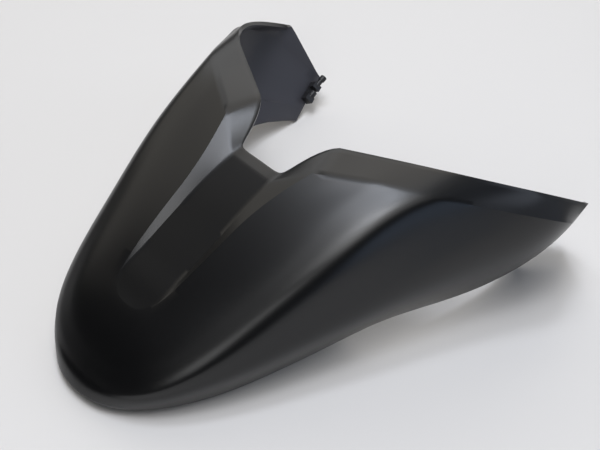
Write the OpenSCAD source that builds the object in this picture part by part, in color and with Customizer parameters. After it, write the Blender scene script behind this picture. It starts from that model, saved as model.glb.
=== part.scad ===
/* [Cowl] */
// Greatest width, across the sides of the two wings
cowl_w = 294; // [265:1:325]
// Length from the tail edge to the wing tips
cowl_l = 303; // [275:1:330]
// Height of the two humps above the ground
cowl_h = 111; // [100:1:125]
// Thickness of the moulded wall
wall = 2.8; // [2:0.1:4]

/* [Channel] */
// Half width of the flat channel down the middle
channel_half = 17.6; // [15:0.2:20]
// Distance from the tail edge to the bottom of the notch
notch_y = 152; // [147:1:156]

/* [Base pan] */
// Height of the underside of the pan above the ground
pan_z = 24; // [20:1:28]
// Thickness of the pan and of the lip around it
pan_t = 2.5; // [2:0.1:4]
// Depth of the lip below the pan
lip_h = 6; // [4:0.5:9]
// Depth of the stiffening ribs
rib_h = 4; // [2:0.5:6]
// Width of the hook tongue
tongue_w = 34; // [24:1:44]
// Thickness of the hook tongue
tongue_t = 4; // [3:0.5:6]
// How far the hook tongue reaches forward of the pan
tongue_reach = 24; // [16:1:32]

/* [Screws] */
// Radius of the self-tapping screws
screw_r = 2; // [1.5:0.1:2.5]
// Radius of the screw heads
head_r = 3.8; // [3.2:0.1:4.5]
// Clearance around the screws in their holes
screw_gap = 0.15; // [0.1:0.05:0.4]
// Radius of the bosses that take the screws
boss_r = 5.5; // [4.5:0.1:6.5]
// Depth of thread below the skin that the bosses give the screws
boss_depth = 14; // [12:1:18]
// Distance of the screw towers from the middle plane
tower_x = 10; // [8.5:0.5:11]

/* [Latch striker] */
// Radius of the bent steel bar
bar_r = 3; // [2:0.25:4]
// Half distance between the legs of the bar
bar_half = 12; // [10:1:16]
// Height of the middle of the bar above the ground
bar_z = 9; // [5:0.5:13]
// Distance of the bar from the tail edge
bar_y = 98; // [92:1:104]
// Thickness of the steel plate under the pan
plate_t = 2.5; // [1.5:0.25:4]

/* [Rubber buffers] */
// Radius of the buffers
buffer_r = 9; // [7:0.5:11]
// Distance of the rear pair from the middle plane
rear_buffer_x = 38; // [32:1:42]
// Distance of the front pair from the middle plane
front_buffer_x = 56; // [46:1:64]

/* [Wing pegs] */
// Radius of the pegs
peg_r = 2.6; // [2:0.1:3.2]
// Length of the upper peg from the middle of its pad
upper_peg_l = 10.5; // [9:0.5:13]
// Length of the lower peg from the middle of its pad
lower_peg_l = 7; // [6:0.5:9]
// Upward tilt of the pegs from the forward direction, in degrees
peg_tilt = 30; // [15:1:40]

/* [Hidden] */

// The guide lines were drawn for a cowl of this width, length and height.
ref_size = [294, 303, 111];
stretch = [cowl_w / ref_size.x, cowl_l / ref_size.y, cowl_h / ref_size.z];

// Guide lines of the right-hand hump, each from the tail forward to the band
// along its front edge: x from the middle plane, y from the tail edge, z up.
// The crest and the brow run close together and round the edge between them.
crease_line = [[0, 44, 49], [channel_half - 4.6, 44, 49], [channel_half + 2.4, 54, 54], [channel_half + 5.4, 73, 66],
    [channel_half + 8.4, 99, 81.5], [channel_half + 11.4, 129, 96], [40, 158, 108]];
top_line = [[0, 25, 38], [21, 25, 38], [39, 40, 45], [49, 79, 66], [58, 116, 87], [61, 152, 103], [69, 176, 110]];
crest_line = [[0, 9, 20], [27, 9, 20], [53.5, 29, 31.5], [69.5, 86, 62], [84, 134, 90], [88, 175, 108], [98, 193, 108]];
brow_line = [[0, 6, 16.5], [29.5, 6.5, 16.5], [58.5, 29, 28], [77, 90, 57.5], [92.5, 141, 86.5], [97, 183, 105], [105, 203, 104]];
shoulder_line = [[0, 4, 15], [32, 5, 15], [63, 35, 26], [84, 98, 47], [104, 158, 68], [115, 208, 83], [130, 236, 89]];
flank_line = [[0, 2, 12], [36, 3, 13], [69, 44, 22], [95, 110, 34], [119, 180, 46], [140, 237, 60], [153, 266, 77]];
rim_line = [[0, 0, 8], [18, 0, 8], [42, 14, 7], [63, 55, 6], [74, 95, 8], [84, 138, 11], [95, 174, 19],
    [121, 229, 20], [144, 261, 52], [144, 282, 62]];
hump_net = [crease_line, top_line, crest_line, brow_line, shoulder_line, flank_line, rim_line];

// Edge of the flat channel, and the front edge from the notch to the wing tip.
floor_line = [[0, 44, 49], [channel_half - 6.6, 44, 49], [channel_half, 51, 53], [channel_half, 75, 67],
    [channel_half, 104, 82.5], [channel_half, 130, 94], [channel_half, notch_y - 8, 96.5]];
notch_line = [[0, notch_y, 97.3], [10, notch_y, 97.3], [channel_half + 1.4, notch_y - 1, 97.3],
    [channel_half + 2.4, notch_y + 7, 100], [29, 179.5, 109.5], [36, 184, 111]];
front_line = [[36, 184, 111], [63, 199, 111], [99, 215, 113], [122, 242, 101.5], [133, 273, 83], [140, 303, 63]];

// Lower part of each wing, turned inward below the bend: its crease and its
// lower edge, a point for each row of the grid from the bend to the low corner.
return_crease = [[106, 209, 20.5], [111, 224, 22.5], [116, 238, 25], [118, 252, 26], [117, 266, 19], [115.5, 280, 12],
    [113.7, 292.5, 8], [120.5, 315.5, 18]];
return_edge = [[103.5, 209, 20], [106.5, 224, 19], [109, 238, 17.5], [110, 252, 13], [110, 267, 6.5], [110.6, 280, 0],
    [113.7, 292.5, 8], [120.5, 315.5, 18]];

// Steps of the surface grid.
floor_steps = 2;
strip_steps = 4;
hump_steps = 18;
tail_steps = 26;
band_steps = 2;
return_start = 18;

i_floor = floor_steps;
i_crease = i_floor + strip_steps;
i_rim = i_crease + hump_steps;
i_fold = i_rim + 1;
i_edge = i_rim + 2;
j_band = tail_steps;
j_front = j_band + band_steps;

// Weight of control point k of n at t, for a clamped cubic B-spline.
function knot(m, n) = m <= 3 ? 0 : m >= n ? 1 : (m - 3) / (n - 3);
function basis(k, d, t, n) =
    d == 0 ? ((knot(k, n) <= t && t < knot(k + 1, n)) ? 1 : 0) :
    let (a = knot(k + d, n) - knot(k, n), b = knot(k + d + 1, n) - knot(k + 1, n))
        (a > 0 ? (t - knot(k, n)) / a * basis(k, d - 1, t, n) : 0) +
        (b > 0 ? (knot(k + d + 1, n) - t) / b * basis(k + 1, d - 1, t, n) : 0);
function weights(n, t) = [for (k = [0:n - 1]) t >= 1 ? (k == n - 1 ? 1 : 0) : basis(k, 3, t, n)];
function curve(points, t) = weights(len(points), t) * points;
function blend(a, b, t) = a + (b - a) * t;

hump_rows = [for (j = [0:j_band]) [for (line = hump_net) curve(line, j / j_band)]];
floor_row = [for (j = [0:j_band]) curve(floor_line, j / j_band)];

function column_t(i) = (i - i_crease) / hump_steps;
function hump_point(i, j) = curve(hump_rows[j], column_t(i));

function row_point(i, j) =
    i >= i_crease ? hump_point(i, j) :
    i >= i_floor ? blend(floor_row[j], hump_rows[j][0], (i - i_floor) / strip_steps) :
    [floor_row[j].x * i / i_floor, floor_row[j].y, floor_row[j].z];

function front_point(i) = i <= i_crease ? curve(notch_line, i / i_crease) : curve(front_line, column_t(i));

function return_point(i, j) = (i == i_fold ? return_crease : return_edge)[j - return_start - 1];

function drawn_point(i, j) =
    i > i_rim ? return_point(i, j) :
    j > j_band ? blend(row_point(i, j_band), front_point(i), (j - j_band) / band_steps) :
    row_point(i, j);

// Outer skin of the right half, on a grid from the middle out and the tail forward.
skin = [for (i = [0:i_edge]) [for (j = [0:j_front])
    let (a = (i > i_rim && j <= return_start) ? i_rim : i, b = (i > i_rim && j > j_band) ? j_band : j,
        p = drawn_point(a, b)) [p.x * stretch.x, p.y * stretch.y, p.z * stretch.z]]];

function cell_normal(i, j) =
    (i < 0 || j < 0 || i >= i_edge || j >= j_front) ? [0, 0, 0] :
    cross(skin[i + 1][j + 1] - skin[i][j], skin[i][j + 1] - skin[i + 1][j]);
function unit(v) = v / norm(v);
function mirrored(v) = [-v.x, v.y, v.z];
function vertex_normal(i, j) =
    let (n = cell_normal(i - 1, j - 1) + cell_normal(i, j - 1) + cell_normal(i - 1, j) + cell_normal(i, j))
        unit((i == 0 || j == 0) ? n + mirrored(n) : n);
inner = [for (i = [0:i_edge]) [for (j = [0:j_front])
    let (c = home(i, j)) skin[c.x][c.y] - wall * vertex_normal(c.x, c.y)]];

// Grid points that fall together share one vertex: home gives its place.
function home(i, j) =
    let (b = (i > i_rim && j > j_band) ? j_band : j,
        a = (i > i_rim && b <= return_start) ? i_rim :
            (i == i_edge && norm(skin[i_edge][b] - skin[i_fold][b]) < 0.01) ? i_fold :
            (b == 0 && i <= i_crease) ? 0 : i)
        [a, b];

rows = j_front + 1;
side_count = (i_edge + 1) * rows;
function vertex(i, j, layer) =
    let (c = home(abs(i), j), left = i < 0 && c.x > 0 && c.y > 0)
        c.x * rows + c.y + (left ? side_count : 0) + layer * 2 * side_count;
all_points = [for (layer = [skin, inner]) for (side = [1, -1]) for (i = [0:i_edge]) for (j = [0:j_front])
    [side * layer[i][j].x, layer[i][j].y, layer[i][j].z]];

function clean(f) = [for (t = f) if (t[0] != t[1] && t[1] != t[2] && t[2] != t[0]) t];
function quad(a, b, c, d) = clean([[a, b, c], [a, c, d]]);

skin_faces = [for (i = [-i_edge:i_edge - 1]) for (j = [0:j_front - 1]) for (layer = [0, 1])
    for (f = layer == 0 ?
        quad(vertex(i, j, 0), vertex(i, j + 1, 0), vertex(i + 1, j + 1, 0), vertex(i + 1, j, 0)) :
        quad(vertex(i, j, 1), vertex(i + 1, j, 1), vertex(i + 1, j + 1, 1), vertex(i, j + 1, 1))) f];
function wall_faces(i0, j0, i1, j1) =
    quad(vertex(i0, j0, 0), vertex(i0, j0, 1), vertex(i1, j1, 1), vertex(i1, j1, 0));
edge_faces = concat(
    [for (i = [-i_edge:i_edge - 1]) for (f = wall_faces(i, j_front, i + 1, j_front)) f],
    [for (j = [0:j_front - 1]) for (f = wall_faces(i_edge, j + 1, i_edge, j)) f],
    [for (j = [0:j_front - 1]) for (f = wall_faces(-i_edge, j, -i_edge, j + 1)) f]);

// Rows of the channel floor that carry the screw bosses.
boss_rows = [9, 24];
function floor_point(j) = skin[0][j];
function floor_slope(j) =
    let (d = floor_point(j + 1) - floor_point(j - 1)) atan2(d.z, d.y);
function boss_foot(j) = floor_point(j).z - wall - boss_depth;

// Boss under the channel floor, cut off inside the thickness of the wall.
module boss(j) {
    p = floor_point(j);
    block = 8 * boss_r;
    intersection() {
        translate([tower_x, p.y, boss_foot(j)]) cylinder(h = 3 * boss_depth, r = boss_r, $fn = 40);
        translate(p) rotate([floor_slope(j), 0, 0]) translate([-block / 2, -block / 2, -block - wall / 2]) cube(block);
    }
}

module boss_bore(j) {
    translate([tower_x, floor_point(j).y, boss_foot(j) - 1])
        cylinder(h = boss_depth - 1, r = screw_r + screw_gap, $fn = 32);
}

// Lower front edge of each wing, which carries a strip with two pegs. Places
// on it go along the edge, up the panel from it and inward from the panel.
step_corner = skin[i_fold][j_band - 1];
low_corner = skin[i_fold][j_band];
bend_point = skin[i_rim][j_band - 1];
edge_way = unit(low_corner - step_corner);
inward = unit(cross(low_corner - bend_point, step_corner - bend_point));
panel_way = cross(edge_way, inward);
function panel_point(u, v, w) = step_corner + u * edge_way + v * panel_way + w * inward;
module on_panel() {
    multmatrix([
        [edge_way.x, panel_way.x, inward.x, step_corner.x],
        [edge_way.y, panel_way.y, inward.y, step_corner.y],
        [edge_way.z, panel_way.z, inward.z, step_corner.z],
        [0, 0, 0, 1]]) children();
}

// The strip is let into the inside of the panel by its inset.
strip_from = 1;
strip_l = 16;
strip_w = 7;
strip_t = 2.4;
strip_inset = 1;
strip_overhang = 1.5;
pad_l = 4.5;
pad_t = 7.6;
module strip_block(from, l, t) {
    on_panel() translate([from, -strip_overhang, wall - strip_inset]) cube([l, strip_w, t]);
}

peg_height = wall - strip_inset + pad_t - peg_r + 0.6;
upper_peg = panel_point(strip_from + strip_l - pad_l / 2, strip_w / 2 - strip_overhang, peg_height);
lower_peg = panel_point(strip_from + pad_l / 2, strip_w / 2 - strip_overhang, peg_height);

// A neck and a wider head with a chamfered end, along the z axis.
module peg(reach) {
    head = 4;
    chamfer = 0.6;
    cylinder(h = reach - chamfer, r = peg_r - chamfer, $fn = 32);
    translate([0, 0, reach - head]) cylinder(h = head - chamfer, r = peg_r, $fn = 32);
    translate([0, 0, reach - chamfer]) cylinder(h = chamfer, r1 = peg_r, r2 = peg_r - chamfer, $fn = 32);
}

module peg_strip() {
    color("black") union() {
        strip_block(strip_from, strip_l, strip_t);
        strip_block(strip_from, pad_l, pad_t);
        strip_block(strip_from + strip_l - pad_l, pad_l, pad_t);
        translate(upper_peg) rotate([peg_tilt - 90, 0, 0]) peg(upper_peg_l);
        translate(lower_peg) rotate([peg_tilt - 90, 0, 0]) peg(lower_peg_l);
    }
}

// The frame's origin is in the middle of the length, on the ground.
peg_end = upper_peg.y + upper_peg_l * cos(peg_tilt) + peg_r * sin(peg_tilt);
total_l = max(low_corner.y, peg_end);
module placed() {
    translate([0, -total_l / 2, 0]) children();
}
module both_sides() {
    children();
    mirror([1, 0, 0]) children();
}

module cowl_shell() {
    placed() color("dimgray") difference() {
        union() {
            polyhedron(all_points, concat(skin_faces, edge_faces), convexity = 6);
            for (j = boss_rows) both_sides() boss(j);
        }
        for (j = boss_rows) both_sides() boss_bore(j);
        both_sides() strip_block(strip_from, strip_l, strip_t);
    }
}

// Outline of the pan: its right half from the tail forward, with a straight front.
pan_line = [[0, 24], [20, 24], [40, 31], [55, 48], [67, 77], [75, 110], [81, 140], [83, 158]];
pan_steps = 18;
pan_front = pan_line[len(pan_line) - 1].y * stretch.y;
pan_half = [for (k = [0:pan_steps]) let (p = curve(pan_line, k / pan_steps)) [p.x * stretch.x, p.y * stretch.y]];
module pan_outline() {
    polygon(concat(pan_half, [for (k = [pan_steps:-1:1]) [-pan_half[k].x, pan_half[k].y]]));
}

tower_r = head_r + 1.4 + pan_t;
land_t = 3;
rib_t = 2;
rib_x = 26;
rib_y = [46, 80, 116, 148];
buffer_at = [[rear_buffer_x, 56], [front_buffer_x, 134]];
stem_r = 4;
striker_screw_x = bar_half + 10;
pad_h = 8;

module pan_ribs() {
    translate([0, 0, pan_z - rib_h]) linear_extrude(rib_h + pan_t / 2) intersection() {
        pan_outline();
        union() {
            for (y = rib_y) translate([-cowl_w / 2, y * stretch.y]) square([cowl_w, rib_t]);
            for (x = [-rib_x, rib_x - rib_t]) translate([x, 0]) square([rib_t, pan_front]);
        }
    }
}

// Tongue that hooks under the seat rail, with its tip bent up.
module hook_tongue() {
    tip = 6;
    translate([-tongue_w / 2, pan_front - tip, pan_z + pan_t - tongue_t])
        cube([tongue_w, tongue_reach + tip, tongue_t]);
    translate([-tongue_w / 2, pan_front + tongue_reach - 0.5 * tongue_t, pan_z + pan_t - tongue_t])
        cube([tongue_w, tongue_t, tongue_t + tip]);
}

module base_pan() {
    placed() color("black") difference() {
        union() {
            translate([0, 0, pan_z]) linear_extrude(pan_t) pan_outline();
            translate([0, 0, pan_z - lip_h]) linear_extrude(lip_h + pan_t / 2) difference() {
                pan_outline();
                offset(delta = -pan_t) pan_outline();
            }
            pan_ribs();
            hook_tongue();
            both_sides() {
                for (j = boss_rows) translate([tower_x, floor_point(j).y, pan_z])
                    cylinder(h = boss_foot(j) - pan_z, r = tower_r, $fn = 48);
                translate([striker_screw_x, bar_y, pan_z + pan_t / 2]) cylinder(h = pan_t / 2 + pad_h, r = boss_r, $fn = 40);
            }
        }
        both_sides() {
            for (j = boss_rows) translate([tower_x, floor_point(j).y, 0]) {
                cylinder(h = boss_foot(j) - land_t, r = tower_r - pan_t, $fn = 48);
                cylinder(h = boss_foot(j) + 1, r = screw_r + screw_gap, $fn = 32);
            }
            translate([striker_screw_x, bar_y, pan_z - 1]) cylinder(h = pad_h + 1, r = screw_r + screw_gap, $fn = 32);
            for (b = buffer_at) translate([b.x, b.y, 0]) {
                cylinder(h = pan_z + 2 * pan_t, r = stem_r + screw_gap, $fn = 40);
                cylinder(h = pan_z, r = buffer_r + 0.5, $fn = 48);
            }
        }
        translate([-striker_screw_x - boss_r, bar_y - boss_r - 2, pan_z - 2 * rib_h])
            cube([2 * (striker_screw_x + boss_r), 2 * boss_r + 4, 2 * rib_h]);
    }
}

// Screw along the z axis, its head below the origin and a cross in the head.
module screw(reach) {
    head_h = 2.6;
    difference() {
        union() {
            translate([0, 0, -head_h]) cylinder(h = head_h, r1 = head_r - 0.8, r2 = head_r, $fn = 40);
            cylinder(h = reach - screw_r, r = screw_r, $fn = 32);
            translate([0, 0, reach - screw_r]) cylinder(h = screw_r, r1 = screw_r, r2 = 0.4, $fn = 32);
        }
        for (a = [0, 90]) rotate([0, 0, a]) translate([-1.9, -0.45, -head_h - 1]) cube([3.8, 0.9, 2.4]);
    }
}

module pan_screws() {
    placed() color("silver") both_sides() for (j = boss_rows)
        translate([tower_x, floor_point(j).y, boss_foot(j) - land_t]) screw(land_t + boss_depth - 4);
}

module striker_screws() {
    placed() color("silver") both_sides()
        translate([striker_screw_x, bar_y, pan_z - plate_t]) screw(plate_t + pad_h - 1);
}

// Bent bar welded to a plate: a straight piece, two quarter bends and two legs.
module latch_striker() {
    bend_r = 2 * bar_r;
    placed() color("silver") translate([0, bar_y, 0]) difference() {
        union() {
            translate([-striker_screw_x - boss_r + 1, -boss_r - 1, pan_z - plate_t])
                cube([2 * (striker_screw_x + boss_r - 1), 2 * boss_r + 2, plate_t]);
            translate([bend_r - bar_half, 0, bar_z]) rotate([0, 90, 0])
                cylinder(h = 2 * (bar_half - bend_r), r = bar_r, $fn = 32);
            both_sides() {
                translate([bar_half - bend_r, 0, bar_z + bend_r]) rotate([90, 0, 0]) rotate([0, 0, -90])
                    rotate_extrude(angle = 90, $fn = 64) translate([bend_r, 0]) circle(r = bar_r, $fn = 32);
                translate([bar_half, 0, bar_z + bend_r]) cylinder(h = pan_z - plate_t / 2 - bar_z - bend_r, r = bar_r, $fn = 32);
            }
        }
        both_sides() translate([striker_screw_x, 0, pan_z - plate_t - 1])
            cylinder(h = plate_t + 2, r = screw_r + screw_gap, $fn = 32);
    }
}

// Buffer pushed into the pan from below, held by the wider head of its stem.
module buffer() {
    top = pan_z + pan_t;
    rotate_extrude($fn = 64) polygon([[0, 0], [buffer_r - 1, 0], [buffer_r, 1], [buffer_r, pan_z], [stem_r, pan_z],
        [stem_r, top], [stem_r + 1.6, top], [stem_r + 0.6, top + 3], [0, top + 4]]);
}

module rubber_buffers() {
    placed() color("dimgray") both_sides() for (b = buffer_at) translate([b.x, b.y, 0]) buffer();
}

module left_peg_strip() {
    placed() mirror([1, 0, 0]) peg_strip();
}
module right_peg_strip() {
    placed() peg_strip();
}

cowl_shell();
base_pan();
pan_screws();
latch_striker();
striker_screws();
rubber_buffers();
left_peg_strip();
right_peg_strip();
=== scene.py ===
# %% [markdown]
# # Dressing a moulded seat cowl
# The cowl takes the place of the passenger seat on a motorcycle. It is one
# thin moulding with two humps and a channel between them, painted satin
# black, with plain fittings under it. Its solids were drawn as a surface
# between a few guide lines. Here such lines give a finer surface, which gets
# the paint, and the pieces under it get the finish of their real materials.
# Everything is in metres and in the frame of the solids: +Z is up and +Y
# points forward, from the tail to the wing tips.

# %% Load the solids
import math

import bmesh
import bpy
import numpy as np
from mathutils import Matrix, Vector


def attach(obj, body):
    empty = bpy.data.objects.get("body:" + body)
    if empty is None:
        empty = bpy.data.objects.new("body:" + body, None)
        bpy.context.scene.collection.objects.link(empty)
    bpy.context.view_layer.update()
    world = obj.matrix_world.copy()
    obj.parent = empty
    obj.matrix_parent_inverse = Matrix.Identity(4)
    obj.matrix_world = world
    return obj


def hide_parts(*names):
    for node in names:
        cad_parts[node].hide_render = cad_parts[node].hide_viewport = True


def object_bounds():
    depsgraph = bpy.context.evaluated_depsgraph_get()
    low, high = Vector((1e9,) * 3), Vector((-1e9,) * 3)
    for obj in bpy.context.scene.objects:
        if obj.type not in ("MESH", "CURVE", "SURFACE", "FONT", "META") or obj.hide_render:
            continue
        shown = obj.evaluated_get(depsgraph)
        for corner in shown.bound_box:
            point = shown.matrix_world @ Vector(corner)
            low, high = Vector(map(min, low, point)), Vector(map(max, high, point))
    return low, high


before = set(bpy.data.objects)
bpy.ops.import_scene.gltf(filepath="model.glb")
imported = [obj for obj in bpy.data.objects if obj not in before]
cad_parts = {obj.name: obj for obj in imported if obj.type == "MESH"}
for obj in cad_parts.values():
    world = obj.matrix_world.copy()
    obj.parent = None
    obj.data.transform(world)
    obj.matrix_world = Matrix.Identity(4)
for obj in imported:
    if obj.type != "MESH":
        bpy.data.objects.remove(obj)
cad_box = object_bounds()
print("box of the solids:", [[round(v, 4) for v in corner] for corner in cad_box])

# %% [markdown]
# ## The guide lines
# A cowl like this is designed from the lines that the eye follows: the crease
# beside the channel, the top, the crest of the hump, the brow under it, the
# shoulder, the flank and the rim. The shape could also be sculpted from a
# box, but lines keep both halves alike and each curve fair. They run from the
# tail forward, in millimetres: x from the middle plane, y from the tail edge
# and z up.

# %% Guide lines of the hump
CREASE = [[0, 44, 49], [13, 44, 49], [19.7, 54, 53.5], [22.5, 73, 64.9],
          [25.6, 99, 79.4], [27.6, 129, 95.2], [39.5, 158, 108]]
TOP = [[0, 25, 38], [21, 25, 38], [39, 40, 45], [49, 79, 65.4],
       [58, 116, 86], [61, 152, 102.4], [69, 176, 110]]
CREST = [[0, 9, 20], [28, 9, 19.4], [55.8, 29.3, 30], [71.4, 86.3, 60.8],
         [85, 134.1, 89.3], [88.5, 175, 107.8], [98, 193, 108]]
BROW = [[0, 6, 16.5], [30.5, 6.5, 15.9], [60.8, 29.3, 26.5], [78.9, 90.3, 56.3],
        [93.8, 141.1, 85.7], [98.5, 183.5, 104.2], [107, 204, 103]]
SHOULDER = [[0, 4, 15], [32, 5, 15], [63, 35, 26], [84, 98, 47],
            [104, 158, 68], [115, 208, 83], [130, 236, 89]]
FLANK = [[0, 2, 12], [36, 3, 13], [69, 44, 22], [95, 110, 34],
         [119, 180, 46], [140, 237, 60], [153, 266, 77]]
RIM = [[0, 0, 8], [18, 0, 8], [42, 14, 7], [63, 55, 6], [74, 95, 8],
       [84, 138, 11], [95, 174, 19], [121, 229, 20], [144, 261, 52], [144, 282, 62]]

# %% [markdown]
# The crest is a tight bend at the tail and a soft one in front. One more line
# between the top and the crest gives that. Each number is the share of the
# way from the crest to the top: a small share keeps the top face flat up to
# the bend, and a large one lets it swell.

# %% The line beside the crest
CREST_TO_TOP = [0.2, 0.2, 0.2, 0.25, 0.4, 0.7, 0.9]
beside_crest = [[c + (t - c) * share for c, t in zip(crest_point, top_point)]
                for crest_point, top_point, share in zip(CREST, TOP, CREST_TO_TOP)]
HUMP = [CREASE, TOP, beside_crest, CREST, BROW, SHOULDER, FLANK, RIM]
print("guide lines of the hump:", len(HUMP))

# %% [markdown]
# The other lines are the edge of the channel floor, the front edge in two
# lengths, from the notch to the wing tip, and the crease and lower edge of
# the part of the wing that turns inward.

# %% The other guide lines
CHANNEL_FLOOR = [[0, 44, 49], [11, 44, 49], [18, 51, 52], [19, 75, 64.1],
                 [19.6, 104, 78.4], [18.2, 130, 92.6], [17.6, 144, 96.4]]
NOTCH = [[0, 152, 97.3], [10, 152, 97.3], [19, 151, 97.3], [20, 159, 100],
         [29, 179.5, 109.5], [36, 184, 111]]
FRONT = [[36, 184, 111], [63, 199, 111], [99, 215, 113], [122, 242, 101.5],
         [133, 273, 83], [140, 303, 63]]
TURNED_CREASE = [[106, 209, 20.5], [111, 224, 22.5], [116, 238, 25], [118, 252, 26],
                 [117, 266, 19], [115.5, 280, 12], [113.7, 292.5, 8], [120.5, 315.5, 18]]
TURNED_EDGE = [[103.5, 209, 20], [106.5, 224, 19], [109, 238, 17.5], [110, 252, 13],
               [110, 267, 6.5], [110.6, 280, 0], [113.7, 292.5, 8], [120.5, 315.5, 18]]
print("points in the other lines:", len(CHANNEL_FLOOR + NOTCH + FRONT), "and",
      len(TURNED_CREASE + TURNED_EDGE))

# %% [markdown]
# ## A smooth curve along a line's points
# A clamped cubic B-spline starts and ends on the outer points and runs
# smoothly past the others. Blender's own curves could draw it, but the grid
# needs points at exact steps along it, so a short function works them out.

# %% The spline
DEGREE = 3


def spline(points, t):
    """Points on the clamped cubic B-spline at the values t, by de Boor's rule."""
    points = np.asarray(points, float)
    count = len(points)
    knots = np.concatenate([[0] * DEGREE, np.linspace(0, 1, count - DEGREE + 1),
                            [1] * DEGREE])
    out = []
    for value in np.atleast_1d(t):
        value = min(max(value, 0), 1)
        k = min(int(np.searchsorted(knots, value, side="right")) - 1, count - 1)
        k = max(DEGREE, min(k, count - 1))
        d = [points[j + k - DEGREE].copy() for j in range(DEGREE + 1)]
        for r in range(1, DEGREE + 1):
            for j in range(DEGREE, r - 1, -1):
                low, high = knots[j + k - DEGREE], knots[j + 1 + k - r]
                a = 0 if high == low else (value - low) / (high - low)
                d[j] = (1 - a) * d[j - 1] + a * d[j]
        out.append(d[DEGREE])
    return np.array(out)


print("crease at half its length:", spline(CREASE, 0.5)[0].round(1))

# %% [markdown]
# ## The surface grid
# Rows run across the cowl and columns run from the tail forward. FINE says
# how many times as many steps the grid has as the solids. Splines along the
# guide lines give the columns, and splines across them give the rows, so the
# skin is smooth both ways.

# %% The hump
FINE = 3
STEPS = {"floor": 2 * FINE, "wall": 4 * FINE, "hump": 16 * FINE,
         "tail": 26 * FINE, "band": 2 * FINE}
v = np.linspace(0, 1, STEPS["tail"] + 1)
across = np.linspace(0, 1, STEPS["hump"] + 1)
lines = np.stack([spline(line, v) for line in HUMP])
hump = np.stack([spline(lines[:, j], across) for j in range(len(v))], axis=1)
print("grid of the hump:", hump.shape)

# %% [markdown]
# ## The channel between the humps
# A narrow wall stands between the channel floor and the hump. On the moulding
# it runs out in a point before the tail, so the channel has no end. Up to
# WALL_START, as a share of the way from the tail, the edge of the floor lies
# on the crease and the wall has no width. From WALL_FULL on, the edge follows
# its own line, and a smooth step leads from one to the other.

# %% The channel floor and its wall
WALL_START = 0.17
WALL_FULL = 0.5
start = np.clip((v - WALL_START) / (WALL_FULL - WALL_START), 0, 1)[:, None]
own_line = spline(CHANNEL_FLOOR, v)
floor_edge = hump[0] + (own_line - hump[0]) * start ** 2 * (3 - 2 * start)

rows = []
for i in range(STEPS["floor"]):
    rows.append(floor_edge * [i / STEPS["floor"], 1, 1])
for i in range(STEPS["wall"]):
    rows.append(floor_edge + (hump[0] - floor_edge) * i / STEPS["wall"])
rows = np.array(rows + list(hump))
print("rows with the channel:", rows.shape)

# %% [markdown]
# ## The band along the front edge
# A flat band runs along the front edge, from the notch for the rider's seat
# to the wing tips. Straight steps from the last column to the front edge keep
# it flat, and the line where it meets the hump stays crisp.

# %% The band
I_CREASE = STEPS["floor"] + STEPS["wall"]
I_RIM = I_CREASE + STEPS["hump"]
front = np.concatenate([spline(NOTCH, np.arange(I_CREASE) / I_CREASE),
                        spline(FRONT, across)])
steps = np.arange(1, STEPS["band"] + 1)[None, :, None] / STEPS["band"]
band = rows[:, -1:] + (front[:, None] - rows[:, -1:]) * steps
skin = np.concatenate([rows, band], axis=1)
print("grid of the right half:", skin.shape)

# %% [markdown]
# ## The turned-in lower part of the wings
# Below the bend the wing turns inward and down to its foot, which closes the
# gap to the frame on the motorcycle. The two straight-sided lines hold it,
# the crease and the lower edge, which meet at the foot.

# %% The turned-in part
TURNED_START = 18 * FINE
PANEL_ROWS = 8
FOOT_ROWS = 3


def stretched(points, parts):
    """Points in equal parts along straight lines.

    The last point is repeated for the band's columns.
    """
    points = np.asarray(points, float)
    t = np.linspace(0, len(points) - 1, (len(points) - 1) * parts + 1)
    line = np.stack([np.interp(t, np.arange(len(points)), points[:, k])
                     for k in range(3)], axis=1)
    return np.concatenate([line, np.repeat(line[-1:], STEPS["band"], axis=0)])


bend = skin[I_RIM, TURNED_START:]
crease = stretched([bend[0]] + TURNED_CREASE, FINE)
edge = stretched([bend[0]] + TURNED_EDGE, FINE)
panel = [bend + (crease - bend) * k / PANEL_ROWS for k in range(PANEL_ROWS)]
foot = [crease + (edge - crease) * k / FOOT_ROWS for k in range(FOOT_ROWS + 1)]
turned = np.array(panel + foot)
print("grid of the turned-in part:", turned.shape)

# %% [markdown]
# ## Two helpers for meshes
# The guide lines are in millimetres from the tail edge, and Blender works in
# metres in the frame of the solids, so SHIFT moves the points back to where
# the tail edge lies. The first helper makes an object from any list of points
# and faces. The second one numbers the corners of a grid's faces.

# %% Helpers for meshes
MM_PER_M = 1000
SHIFT = np.array([0, cad_box[0][1] * MM_PER_M, 0])


def new_object(name, points, faces):
    """An object in the scene, from points in metres and faces."""
    made = bpy.data.objects.new(name, bpy.data.meshes.new(name))
    made.data.from_pydata(points, [], faces)
    bpy.context.collection.objects.link(made)
    return made


def grid_faces(first, row_count, column_count, flip):
    """The faces of a grid of points whose first point has this number."""
    faces = []
    for i in range(row_count - 1):
        for j in range(column_count - 1):
            a = first + i * column_count + j
            quad = [a, a + 1, a + column_count + 1, a + column_count]
            faces.append(quad[::-1] if flip else quad)
    return faces


print("the tail edge lies at y =", round(SHIFT[1], 2), "mm")

# %% [markdown]
# ## From the grids to one mesh
# The moulding is the same on both sides, so both grids are used twice, the
# second time with x mirrored and the corners of each face in the other order,
# so that all faces look outward. Blender's Mirror would do it too, but the
# grids share their rows at the bend, and here all points are joined in one go.

# %% The mesh of the shell
points, faces = [], []
for side in (1, -1):
    for grid in (skin, turned):
        faces += grid_faces(len(points), grid.shape[0], grid.shape[1], side > 0)
        placed = grid.reshape(-1, 3) * [side, 1, 1] + SHIFT
        points += [tuple(p) for p in placed / MM_PER_M]
cowl = new_object("cowl_surface", points, faces)
print("points before joining:", len(points))

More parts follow.
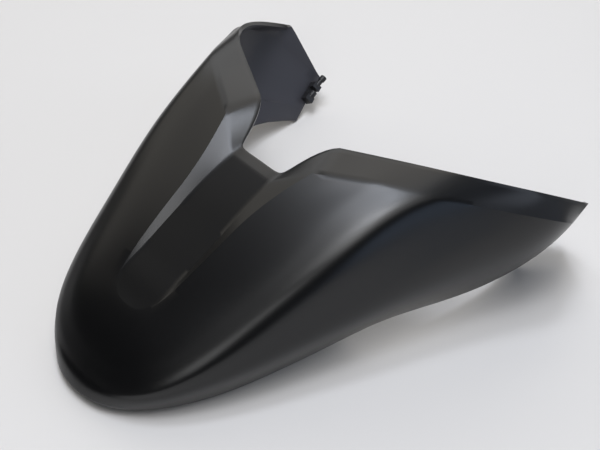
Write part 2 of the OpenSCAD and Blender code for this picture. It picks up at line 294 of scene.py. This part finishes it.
# %% [markdown]
# ## Joining the grids
# The halves share the middle line, and the turned-in parts share the bend
# with the skin. Points closer than MERGE are made one, and the faces that
# have shrunk to nothing, as at the tail, are taken out.

# %% Join the points
MERGE = 0.00005
SHRUNK = 0.00001
bm = bmesh.new()
bm.from_mesh(cowl.data)
bmesh.ops.remove_doubles(bm, verts=bm.verts, dist=MERGE)
bmesh.ops.dissolve_degenerate(bm, edges=bm.edges, dist=SHRUNK)
for face in bm.faces:
    face.smooth = True
bm.to_mesh(cowl.data)
bm.free()
print("cowl surface:", len(cowl.data.vertices), "vertices,",
      len(cowl.data.polygons), "faces")

# %% [markdown]
# ## The thickness of the moulding
# An even wall is what a mould gives. Solidify adds it on the inside, so the
# outer face stays on the guide lines, and gives the inner faces the second
# material. A narrow bevel rounds the cut edges, as the mould does, and leaves
# the softer bends alone, because it works only above BEVEL_FROM degrees.
# Bends above SHARP_FROM degrees are shaded as crisp lines.

# %% Wall and rounded edges
WALL = 2.8
EDGE_ROUNDING = 0.0005
BEVEL_FROM = 72
SHARP_FROM = math.radians(24)
solid = cowl.modifiers.new("wall", "SOLIDIFY")
solid.thickness = WALL / MM_PER_M
solid.offset = -1
solid.material_offset = 1
rounding = cowl.modifiers.new("rounded edges", "BEVEL")
rounding.width = EDGE_ROUNDING
rounding.segments = 2
rounding.limit_method = "ANGLE"
rounding.angle_limit = math.radians(BEVEL_FROM)
cowl.data.set_sharp_from_angle(angle=SHARP_FROM)
print("wall:", WALL, "mm, edges rounded by", EDGE_ROUNDING * MM_PER_M, "mm")

# %% [markdown]
# ## Helpers for the materials
# Colours are given as hex values, as a designer would write them, and
# Blender wants them linear. The second helper adds a shader node, sets its
# inputs and links it, so that each pattern below reads as a short list.

# %% Colour and node helpers
def linear(hex_colour):
    """The linear colour of an sRGB hex value, by the sRGB standard's curve."""
    values = [int(hex_colour[i:i + 2], 16) / 255 for i in (1, 3, 5)]
    return tuple(v / 12.92 if v <= 0.04045 else ((v + 0.055) / 1.055) ** 2.4
                 for v in values) + (1.0,)


def add(tree, kind, settings=None, links=None):
    """A node of this kind with its inputs set and linked."""
    node = tree.nodes.new(kind)
    for name, value in (settings or {}).items():
        node.inputs[name].default_value = value
    for name, socket in (links or {}).items():
        tree.links.new(socket, node.inputs[name])
    return node


print("black of the paint, linear:", [round(c, 4) for c in linear("#0b0b0c")])

# %% [markdown]
# ## One way to start a material, one way to give it a grain
# Paint, plastics and rubber all have an IOR near 1.5, which is Blender's
# default, and metals keep the default too. No moulded, painted or plated face
# is quite even, so one noise gives each of them a fine bump and a little
# unevenness of its gloss. Its cells have a size in millimetres.

# %% Material and grain
def material(name, colour, roughness, metallic=0.0):
    """A material with its node tree and its shader."""
    made = bpy.data.materials.new(name)
    made.use_nodes = True
    shader = made.node_tree.nodes["Principled BSDF"]
    shader.inputs["Base Color"].default_value = linear(colour)
    shader.inputs["Roughness"].default_value = roughness
    shader.inputs["Metallic"].default_value = metallic
    return made, made.node_tree, shader


def grain(tree, shader, size, strength, depth, smoothest, roughest, detail=2.0):
    """Bump and uneven roughness from one noise; size and depth are in mm."""
    place = add(tree, "ShaderNodeTexCoord")
    noise = add(tree, "ShaderNodeTexNoise",
                {"Scale": MM_PER_M / size, "Detail": detail},
                {"Vector": place.outputs["Object"]})
    bump = add(tree, "ShaderNodeBump",
               {"Strength": strength, "Distance": depth / MM_PER_M},
               {"Height": noise.outputs["Fac"]})
    spread = add(tree, "ShaderNodeMapRange",
                 {"To Min": smoothest, "To Max": roughest},
                 {"Value": noise.outputs["Fac"]})
    tree.links.new(bump.outputs["Normal"], shader.inputs["Normal"])
    tree.links.new(spread.outputs["Result"], shader.inputs["Roughness"])


print("noise scale for cells of 2 mm:", MM_PER_M / 2)

# %% [markdown]
# ## Satin black paint
# The outside is sprayed: a black base coat under a satin clear coat. To the
# eye that is a deep black with broad, soft highlights along each bend. So the
# colour is nearly black, and the roughness of 0.3 gives the width of the
# highlights. Sprayed paint has a faint orange peel, with cells about 2 mm
# wide, which is coarse enough to be drawn at its real size.

# %% Paint
paint, tree, shader = material("satin_black_paint_on_ABS", "#0b0b0c", 0.3)
grain(tree, shader, 2.0, 0.1, 0.02, smoothest=0.28, roughest=0.32)
print("outside:", paint.name)

# %% [markdown]
# ## Bare ABS inside
# Paint isn't wasted on the inside, where the moulding stays bare: dark grey
# ABS, duller and a little lighter than the paint. The texture of the mould is
# about 0.1 mm fine. It is drawn at 0.8 mm, as coarse as it needs to show.

# %% Inside
bare, tree, shader = material("bare_moulded_ABS", "#36363c", 0.5)
grain(tree, shader, 0.8, 0.3, 0.04, smoothest=0.45, roughest=0.55)
print("inside:", bare.name)

# %% [markdown]
# ## The shell takes its place
# The first material is for the outer faces and the second for the faces that
# Solidify makes. The surface rides on the one body of the part and stands
# for the solid shell.

# %% The painted shell
cowl.data.materials.append(paint)
cowl.data.materials.append(bare)
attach(cowl, "root")
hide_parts("cowl_shell")
print("cowl_surface stands for cowl_shell")

# %% [markdown]
# ## Screw bosses under the channel
# Four round bosses are moulded on the underside of the channel floor, and
# the screws of the pan bite in them. A cylinder each could be cut with
# modifiers, but four rings of points give the finished shape at once: the
# top, the foot, and both ends of the blind bore. The tops follow the slope of
# the floor and end inside the wall, so the bosses grow out of it without a
# gap. BOSS_FEET has the place of each row along y and the height of its feet.

# %% Rings of the bosses
BOSS_X = 10
BOSS_FEET = {60.8: 41.9, 131.4: 76.6}
BOSS_RADIUS = 5.5
BORE_RADIUS = 2.15
BORE_DEPTH = 12
BOSS_SIDES = 40

angle = np.arange(BOSS_SIDES) * math.tau / BOSS_SIDES
circle = np.stack([np.cos(angle), np.sin(angle), 0 * angle], axis=1)


def boss_rings(x, y, foot_height):
    """Rings for the top, the foot, the mouth of the bore and its end."""
    foot_ring = circle * BOSS_RADIUS + [x, y, foot_height]
    bore_ring = circle * BORE_RADIUS + [x, y, foot_height]
    top_ring = foot_ring.copy()
    top_ring[:, 2] = np.interp(foot_ring[:, 1], floor_edge[:, 1],
                               floor_edge[:, 2]) - WALL / 2
    return top_ring, foot_ring, bore_ring, bore_ring + [0, 0, BORE_DEPTH]


print("boss:", 2 * BOSS_RADIUS, "mm wide, bore", 2 * BORE_RADIUS, "mm")

# %% [markdown]
# Faces join each ring to the next one, and one face closes each end.

# %% The bosses
points, faces = [], []
for y, foot_height in BOSS_FEET.items():
    for x in (BOSS_X, -BOSS_X):
        first = len(points)
        rings = boss_rings(x, y, foot_height)
        for ring in rings:
            points += [tuple(p) for p in (ring + SHIFT) / MM_PER_M]
        for ring in range(len(rings) - 1):
            for k in range(BOSS_SIDES):
                a = first + ring * BOSS_SIDES + k
                b = first + ring * BOSS_SIDES + (k + 1) % BOSS_SIDES
                faces.append([a, a + BOSS_SIDES, b + BOSS_SIDES, b])
        last = first + (len(rings) - 1) * BOSS_SIDES
        faces.append(list(range(first, first + BOSS_SIDES)))
        faces.append(list(range(last + BOSS_SIDES - 1, last - 1, -1)))

bosses = new_object("screw_bosses", points, faces)
for face in bosses.data.polygons:
    face.use_smooth = True
bosses.data.set_sharp_from_angle(angle=SHARP_FROM)
bosses.data.materials.append(bare)
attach(bosses, "root")
print("screw bosses:", len(BOSS_FEET) * 2, "with feet at",
      list(BOSS_FEET.values()), "mm")

# %% [markdown]
# ## The pan and the pegs
# The pan under the humps is moulded in polypropylene, which looks waxy and
# dull. The peg strips are nylon, harder and a little glossier, so that the
# pegs slide into their grommets. The fine texture of both is drawn coarser
# than the real one, at 0.6 and 0.8 mm, so that it shows.

# %% Moulded plastics
plain, tree, shader = material("moulded_black_polypropylene", "#161617", 0.55)
grain(tree, shader, 0.6, 0.35, 0.05, smoothest=0.5, roughest=0.62)
pegs, tree, shader = material("moulded_black_nylon", "#1d1d20", 0.45)
grain(tree, shader, 0.8, 0.2, 0.03, smoothest=0.4, roughest=0.5)
print("plastics:", plain.name, "and", pegs.name)

# %% [markdown]
# ## Rubber and plated steel
# The buffers are moulded EPDM rubber, a flat black with hardly a highlight.
# The latch bar and the screws are zinc-plated steel: a cool, pale metal with
# a slightly cloudy gloss, as the plating bath leaves it. The clouds are about
# a millimetre wide, and the rubber's fine texture is drawn coarser, at 0.5 mm.

# %% Rubber and zinc
rubber, tree, shader = material("moulded_EPDM_rubber", "#141414", 0.75)
grain(tree, shader, 0.5, 0.4, 0.04, smoothest=0.7, roughest=0.85)
zinc, tree, shader = material("zinc_plated_steel", "#b9bbbd", 0.32, metallic=1.0)
grain(tree, shader, 1.2, 0.1, 0.01, smoothest=0.26, roughest=0.42, detail=4.0)
print("the rest:", rubber.name, "and", zinc.name)

# %% [markdown]
# ## The pieces underneath
# Their solids already have the right shape, so they are shown as they are and
# only get their material.

# %% Materials on the solids
LOOKS = {"base_pan": plain, "pan_screws": zinc, "latch_striker": zinc,
         "striker_screws": zinc, "rubber_buffers": rubber,
         "left_peg_strip": pegs, "right_peg_strip": pegs}
for node, look in LOOKS.items():
    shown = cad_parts[node]
    shown.data.materials.clear()
    shown.data.materials.append(look)
    print(node, "->", look.name)

# %% [markdown]
# ## The floor
# A sheet of pale, matt paper, large enough to fill the picture. It also
# lights the flanks from below, as the table does under the real cowl.

# %% Paper
FLOOR_HALF = 6
corners = [(-FLOOR_HALF, -FLOOR_HALF, 0), (FLOOR_HALF, -FLOOR_HALF, 0),
           (FLOOR_HALF, FLOOR_HALF, 0), (-FLOOR_HALF, FLOOR_HALF, 0)]
ground = new_object("floor", corners, [(0, 1, 2, 3)])
paper, tree, shader = material("white_paper_sweep", "#dddbd9", 0.9)
shader.inputs["Specular IOR Level"].default_value = 0.1
ground.data.materials.append(paper)
print("floor:", 2 * FLOOR_HALF, "m wide")

# %% [markdown]
# ## The lamps
# Black paint shows little but reflections, so the lights stand where the
# highlights come from. The high ones lie along the crest, over the tail and
# over the channel wall, and are small, because a small light gives a narrow
# highlight. The low ones are broad and weak and fill the wings and the band
# with a soft sheen. Each row of the table has the compass angle from +X and
# the height angle, both in degrees, the side of the square lamp in metres,
# its power in watts and its colour.

# %% Table of the lamps
LAMPS = {
    "overhead": (0, 88, 1.0, 4.4, "#fffefa"),
    "crest_front": (122, 82, 0.3, 4.6, "#e8f0ff"),
    "crest_top": (-45, 80, 0.5, 8, "#f2f6ff"),
    "crest_high": (-50, 68, 0.8, 6, "#ffffff"),
    "crest_side": (-20, 60, 0.8, 3.2, "#ffffff"),
    "crest_tail": (-58, 32, 0.6, 3, "#ffffff"),
    "left_high": (130, 55, 1.0, 4.2, "#fffaf2"),
    "front_right": (60, 32, 1.8, 3.4, "#e2ecff"),
    "front": (110, 28, 1.0, 4, "#fffcf6"),
    "front_left": (150, 30, 1.0, 4, "#ffffff"),
    "left_low": (-175, 30, 1.0, 2.6, "#fffaf0"),
    "left_rear": (-160, 58, 0.8, 0.4, "#ffffff"),
    "wall_rear": (-152, 79, 0.4, 3.2, "#eef3ff"),
    "right_front": (42, 21, 1.0, 2.8, "#e2ecff"),
    "right_low": (0, 12, 0.7, 1.7, "#c8deff"),
}
print(len(LAMPS), "lamps,", round(sum(lamp[3] for lamp in LAMPS.values()), 1), "W")

# %% [markdown]
# Square soft boxes, all at the same distance and aimed at one point in the
# middle of the cowl, are simple to place: two angles say where each stands.

# %% Place the lamps
LAMP_DISTANCE = 1.8
AIM = Vector((0, 0, 0.05))


def soft_light(name, compass, height, size, power, colour):
    """A square soft box at two angles in degrees, aimed at the cowl."""
    data = bpy.data.lights.new(name, "AREA")
    data.energy = power
    data.color = linear(colour)[:3]
    data.size = size
    lamp = bpy.data.objects.new(name, data)
    flat = math.cos(math.radians(height))
    way = Vector((flat * math.cos(math.radians(compass)),
                  flat * math.sin(math.radians(compass)),
                  math.sin(math.radians(height))))
    lamp.location = way * LAMP_DISTANCE + AIM
    lamp.rotation_euler = way.to_track_quat("Z", "Y").to_euler()
    bpy.context.collection.objects.link(lamp)
    print(name, [round(c, 2) for c in lamp.location])


for name, settings in LAMPS.items():
    soft_light(name, *settings)

# %% [markdown]
# The world gives no light of its own, so the dark parts of the paint stay as
# dark as they are between the lamps in a studio.

# %% World
world = bpy.data.worlds.new("studio")
bpy.context.scene.world = world
world.use_nodes = True
backdrop = world.node_tree.nodes["Background"]
backdrop.inputs["Strength"].default_value = 0.0
print("light from the world:", backdrop.inputs["Strength"].default_value)

# %% [markdown]
# ## The camera
# It stands where the perspective of the photograph puts it, about 0.75 m from
# the middle of the cowl and 43 degrees above the table. Its place is measured
# from the tail edge, and three directions at right angles turn it: to the
# right, up, and back from the cowl. The focal length was found in pixels of a
# picture 600 pixels wide.

# %% Camera
BACK = Vector((0.5418, -0.4983, 0.6769))
RIGHT = Vector((0.6769, 0.7361, 0))
CAMERA_FROM_TAIL = (0.4059, -0.1885, 0.5306)
SENSOR_WIDTH = 36
FOCAL_PIXELS = 1119.6
PICTURE_WIDTH = 600

camera_data = bpy.data.cameras.new("camera")
camera_data.sensor_width = SENSOR_WIDTH
camera_data.lens = SENSOR_WIDTH * FOCAL_PIXELS / PICTURE_WIDTH
camera = bpy.data.objects.new("camera", camera_data)
turn = Matrix((RIGHT, BACK.cross(RIGHT), BACK)).transposed().to_4x4()
x, y, z = CAMERA_FROM_TAIL
turn.translation = Vector((x, y + cad_box[0][1], z))
camera.matrix_world = turn
bpy.context.collection.objects.link(camera)
bpy.context.scene.camera = camera
bpy.context.scene.view_settings.view_transform = "Standard"
print("lens", round(camera_data.lens, 1), "mm")
